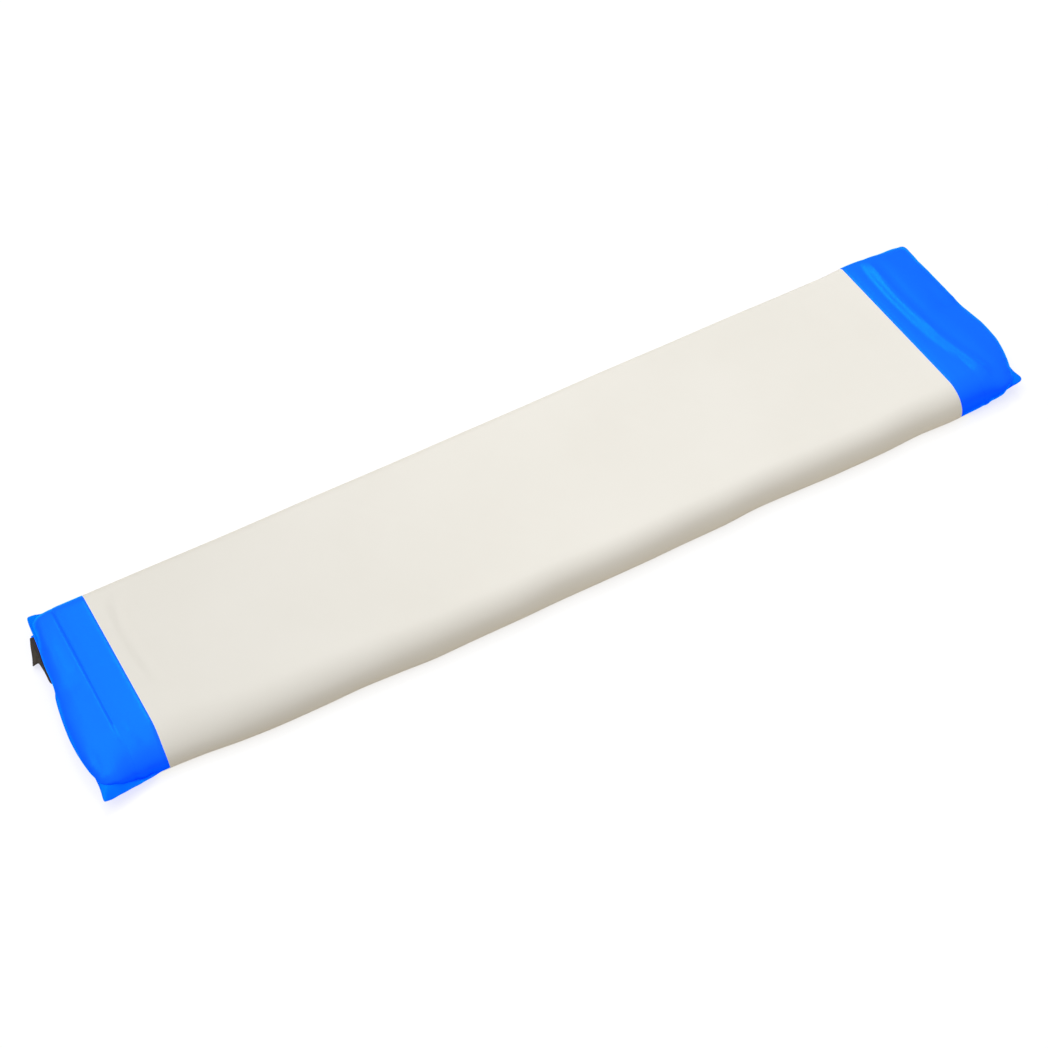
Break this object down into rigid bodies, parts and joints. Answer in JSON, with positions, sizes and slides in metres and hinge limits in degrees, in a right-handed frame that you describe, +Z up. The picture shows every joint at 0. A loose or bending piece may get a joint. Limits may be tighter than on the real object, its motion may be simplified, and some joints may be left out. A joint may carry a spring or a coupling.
{
  "type": "air track mat",
  "caption": "Long inflatable drop-stitch tumbling mat with a cream cover, blue pillow end caps, webbing end handles and a side inflation valve.",
  "frame": {"origin": "on the floor plane, under the middle of the mat's length and width", "axes": "+X along the mat, +Z up, -Y the near long side; the inflation valve is in the +Y side near the +X end"},
  "size_m": [4.6857, 1.036, 0.15],
  "materials": {
    "cream_pvc": "satin",
    "blue_pvc": "satin",
    "wear_pvc": "matte",
    "drop_stitch_fabric": "matte",
    "lining_pvc": "matte",
    "black_webbing": "matte",
    "valve_patch_pvc": "satin",
    "valve_plastic": "satin",
    "seal_rubber": "matte",
    "spring_steel": "satin",
    "pin_steel": "satin"
  },
  "bodies": {
    "mat": {"outer_sleeve": "cream_pvc", "left_end_cap": "blue_pvc", "right_end_cap": "blue_pvc", "left_joint_band": "blue_pvc", "right_joint_band": "blue_pvc", "underside_wear_sheet": "wear_pvc", "drop_stitch_top_ply": "drop_stitch_fabric", "drop_stitch_bottom_ply": "drop_stitch_fabric", "drop_stitch_yarns": "drop_stitch_fabric", "side_lining_near": "lining_pvc", "side_lining_far": "lining_pvc", "left_handle_anchor_webbing": "black_webbing", "right_handle_anchor_webbing": "black_webbing", "left_handle_anchor_pads": "blue_pvc", "right_handle_anchor_pads": "blue_pvc", "valve_patch": "valve_patch_pvc", "valve_body": "valve_plastic", "valve_gasket": "seal_rubber", "valve_clamp_nut": "valve_plastic", "valve_spring": "spring_steel", "valve_cap_hinge_pin": "pin_steel"},
    "left_handle": {"left_handle_strap": "black_webbing"},
    "right_handle": {"right_handle_strap": "black_webbing"},
    "valve_push": {"valve_spring_cup": "valve_plastic"},
    "valve_stem": {"valve_plunger": "valve_plastic", "valve_plunger_seal": "seal_rubber"},
    "valve_lid": {"valve_cap": "valve_plastic", "valve_cap_seal": "seal_rubber"}
  },
  "joints": [
    {"name": "left_handle_fold", "type": "hinge", "parent": "mat", "child": "left_handle", "pos_m": [-2.311, 0.267, 0.0714], "axis": [0, 1, 0], "range_deg": [-15, 145], "stiffness_Nm_per_rad": 0.03},
    {"name": "right_handle_fold", "type": "hinge", "parent": "mat", "child": "right_handle", "pos_m": [2.332, 0.267, 0.0714], "axis": [0, -1, 0], "range_deg": [0, 170], "stiffness_Nm_per_rad": 0.03},
    {"name": "valve_press", "type": "slide", "parent": "mat", "child": "valve_push", "axis": [0, -1, 0], "range_m": [0, 0.0055], "stiffness_N_per_m": 900, "springref_m": -0.002, "deforming": ["valve_spring"]},
    {"name": "valve_turn", "type": "hinge", "parent": "valve_push", "child": "valve_stem", "pos_m": [1.65, 0.48, 0.066], "axis": [0, 1, 0], "range_deg": [0, 90]},
    {"name": "valve_cap_hinge", "type": "hinge", "parent": "mat", "child": "valve_lid", "pos_m": [1.6805, 0.5066, 0.066], "axis": [0, 0, -1], "range_deg": [0, 150]}
  ]
}
